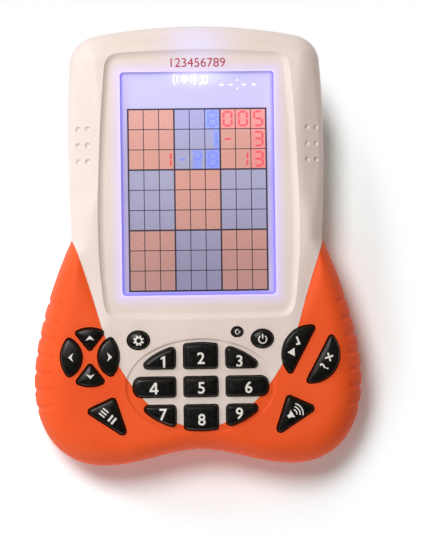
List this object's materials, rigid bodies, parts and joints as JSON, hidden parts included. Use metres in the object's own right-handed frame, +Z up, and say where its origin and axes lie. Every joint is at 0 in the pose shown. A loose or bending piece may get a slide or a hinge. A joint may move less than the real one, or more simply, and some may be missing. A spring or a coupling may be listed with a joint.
{
  "type": "electronic sudoku game",
  "caption": "Handheld number-puzzle game with a lit square-grid screen, a fan of black keys, arrow keys, soft orange grips and a battery door on the back.",
  "frame": {"origin": "middle of the flat back, on the surface the game lies on", "axes": "+X to the right of the screen, +Y to the top edge of the case, +Z up out of the screen"},
  "size_m": [0.1102, 0.1474, 0.0275],
  "materials": {
    "shell": "cream-white moulded plastic, satin",
    "grip": "orange soft-touch grip, matte",
    "key": "black, glossy",
    "lens": "clear acrylic, polished",
    "screen": "tinted liquid-crystal screen",
    "guide": "clear light guide, edge-lit",
    "frame": "white moulded plastic",
    "strip": "layered contact strip",
    "lamp": "clear lamp",
    "board": "green solder mask",
    "resin": "black resin blob",
    "silicone": "grey silicone",
    "cell": "printed sleeve over a metal can",
    "contact": "nickel-plated spring steel",
    "brass": "bare brass with a ceramic layer",
    "red_lead": "insulated lead",
    "black_lead": "insulated lead",
    "steel": "zinc-plated screw"
  },
  "bodies": {
    "case": {"front_shell": "shell", "front_grip": "grip", "rear_shell": "shell", "rear_grip": "grip", "screen_lens": "lens", "lcd_panel": "screen", "light_guide": "guide", "lcd_frame": "frame", "zebra_strip": "strip", "screen_lamp": "lamp", "main_board": "board", "chip_blob": "resin", "keypad_mat": "silicone", "battery_1": "cell", "battery_2": "cell", "battery_3": "cell", "battery_plate": "contact", "bridge_contact_1": "contact", "bridge_contact_2": "contact", "battery_spring": "contact", "buzzer_disc": "brass", "battery_lead_plus": "red_lead", "battery_lead_minus": "black_lead", "buzzer_lead_plus": "red_lead", "buzzer_lead_minus": "black_lead", "case_screw_1": "steel", "case_screw_2": "steel", "case_screw_3": "steel", "case_screw_4": "steel", "case_screw_5": "steel", "case_screw_6": "steel", "board_screw_1": "steel", "board_screw_2": "steel", "board_screw_3": "steel", "board_screw_4": "steel"},
    "key_1": {"key_1": "key"},
    "key_2": {"key_2": "key"},
    "key_3": {"key_3": "key"},
    "key_4": {"key_4": "key"},
    "key_5": {"key_5": "key"},
    "key_6": {"key_6": "key"},
    "key_7": {"key_7": "key"},
    "key_8": {"key_8": "key"},
    "key_9": {"key_9": "key"},
    "key_up": {"key_up": "key"},
    "key_down": {"key_down": "key"},
    "key_left": {"key_left": "key"},
    "key_right": {"key_right": "key"},
    "key_start": {"key_start": "key"},
    "key_help": {"key_help": "key"},
    "key_mode": {"key_mode": "key"},
    "key_sound": {"key_sound": "key"},
    "key_set": {"key_set": "key"},
    "key_power": {"key_power": "key"},
    "key_reset": {"key_reset": "key"},
    "battery_door": {"battery_door": "shell"}
  },
  "joints": [
    {"name": "key_1_press", "type": "slide", "parent": "case", "child": "key_1", "axis": [0, 0, -1], "range_m": [0, 0.001], "stiffness_N_per_m": 1500},
    {"name": "key_2_press", "type": "slide", "parent": "case", "child": "key_2", "axis": [0, 0, -1], "range_m": [0, 0.001], "stiffness_N_per_m": 1500},
    {"name": "key_3_press", "type": "slide", "parent": "case", "child": "key_3", "axis": [0, 0, -1], "range_m": [0, 0.001], "stiffness_N_per_m": 1500},
    {"name": "key_4_press", "type": "slide", "parent": "case", "child": "key_4", "axis": [0, 0, -1], "range_m": [0, 0.001], "stiffness_N_per_m": 1500},
    {"name": "key_5_press", "type": "slide", "parent": "case", "child": "key_5", "axis": [0, 0, -1], "range_m": [0, 0.001], "stiffness_N_per_m": 1500},
    {"name": "key_6_press", "type": "slide", "parent": "case", "child": "key_6", "axis": [0, 0, -1], "range_m": [0, 0.001], "stiffness_N_per_m": 1500},
    {"name": "key_7_press", "type": "slide", "parent": "case", "child": "key_7", "axis": [0, 0, -1], "range_m": [0, 0.001], "stiffness_N_per_m": 1500},
    {"name": "key_8_press", "type": "slide", "parent": "case", "child": "key_8", "axis": [0, 0, -1], "range_m": [0, 0.001], "stiffness_N_per_m": 1500},
    {"name": "key_9_press", "type": "slide", "parent": "case", "child": "key_9", "axis": [0, 0, -1], "range_m": [0, 0.001], "stiffness_N_per_m": 1500},
    {"name": "key_up_press", "type": "slide", "parent": "case", "child": "key_up", "axis": [0, 0, -1], "range_m": [0, 0.001], "stiffness_N_per_m": 1500},
    {"name": "key_down_press", "type": "slide", "parent": "case", "child": "key_down", "axis": [0, 0, -1], "range_m": [0, 0.001], "stiffness_N_per_m": 1500},
    {"name": "key_left_press", "type": "slide", "parent": "case", "child": "key_left", "axis": [0, 0, -1], "range_m": [0, 0.001], "stiffness_N_per_m": 1500},
    {"name": "key_right_press", "type": "slide", "parent": "case", "child": "key_right", "axis": [0, 0, -1], "range_m": [0, 0.001], "stiffness_N_per_m": 1500},
    {"name": "key_start_press", "type": "slide", "parent": "case", "child": "key_start", "axis": [0, 0, -1], "range_m": [0, 0.001], "stiffness_N_per_m": 1500},
    {"name": "key_help_press", "type": "slide", "parent": "case", "child": "key_help", "axis": [0, 0, -1], "range_m": [0, 0.001], "stiffness_N_per_m": 1500},
    {"name": "key_mode_press", "type": "slide", "parent": "case", "child": "key_mode", "axis": [0, 0, -1], "range_m": [0, 0.001], "stiffness_N_per_m": 1500},
    {"name": "key_sound_press", "type": "slide", "parent": "case", "child": "key_sound", "axis": [0, 0, -1], "range_m": [0, 0.001], "stiffness_N_per_m": 1500},
    {"name": "key_set_press", "type": "slide", "parent": "case", "child": "key_set", "axis": [0, 0, -1], "range_m": [0, 0.001], "stiffness_N_per_m": 1500},
    {"name": "key_power_press", "type": "slide", "parent": "case", "child": "key_power", "axis": [0, 0, -1], "range_m": [0, 0.001], "stiffness_N_per_m": 1500},
    {"name": "key_reset_press", "type": "slide", "parent": "case", "child": "key_reset", "axis": [0, 0, -1], "range_m": [0, 0.001], "stiffness_N_per_m": 1500},
    {"name": "battery_door_hinge", "type": "hinge", "parent": "case", "child": "battery_door", "pos_m": [0, 0.02525, 0.0003], "axis": [1, 0, 0], "range_deg": [0, 75]}
  ]
}
